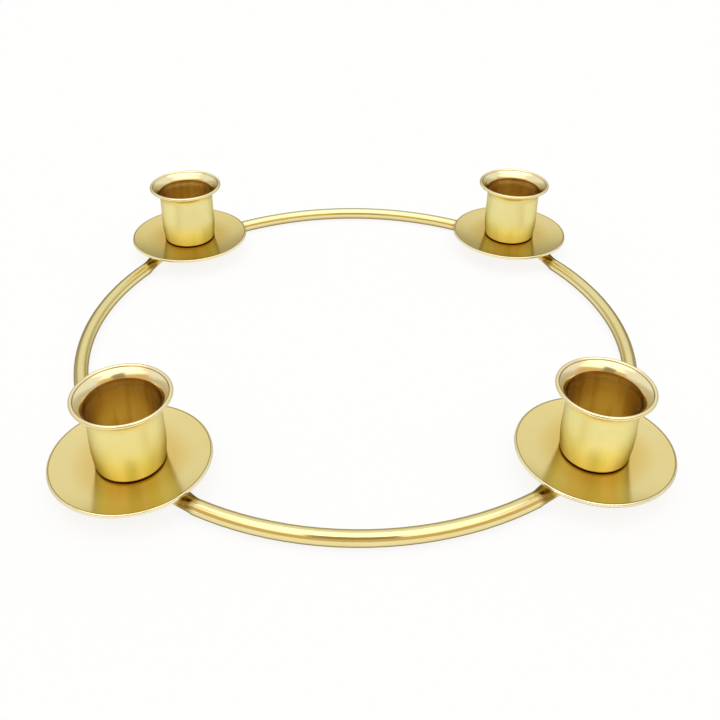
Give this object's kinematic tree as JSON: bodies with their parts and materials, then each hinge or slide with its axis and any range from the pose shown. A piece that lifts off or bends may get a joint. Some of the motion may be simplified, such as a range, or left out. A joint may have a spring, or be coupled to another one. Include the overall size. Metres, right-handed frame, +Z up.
{
  "type": "advent candle holder",
  "caption": "Table ring of round brass tube carrying shallow drip pans, each with a flared cup for a taper candle.",
  "frame": {"origin": "centre of the ring, on the table that it stands on", "axes": "+Z up, +Y towards the back, +X to the right when seen from the front"},
  "size_m": [0.2254, 0.2254, 0.035],
  "materials": {
    "ring_brass": "polished brass tube",
    "pan_brass": "satin brass sheet",
    "cup_brass": "satin brass, spun",
    "screw_brass": "turned brass",
    "zinc_steel": "zinc-plated steel"
  },
  "bodies": {
    "root": {"ring_tube": "ring_brass", "drip_pan_back_right": "pan_brass", "candle_cup_back_right": "cup_brass", "screw_back_right": "screw_brass", "spring_washer_back_right": "zinc_steel", "nut_back_right": "zinc_steel", "drip_pan_back_left": "pan_brass", "candle_cup_back_left": "cup_brass", "screw_back_left": "screw_brass", "spring_washer_back_left": "zinc_steel", "nut_back_left": "zinc_steel", "drip_pan_front_left": "pan_brass", "candle_cup_front_left": "cup_brass", "screw_front_left": "screw_brass", "spring_washer_front_left": "zinc_steel", "nut_front_left": "zinc_steel", "drip_pan_front_right": "pan_brass", "candle_cup_front_right": "cup_brass", "screw_front_right": "screw_brass", "spring_washer_front_right": "zinc_steel", "nut_front_right": "zinc_steel"}
  },
  "joints": []
}
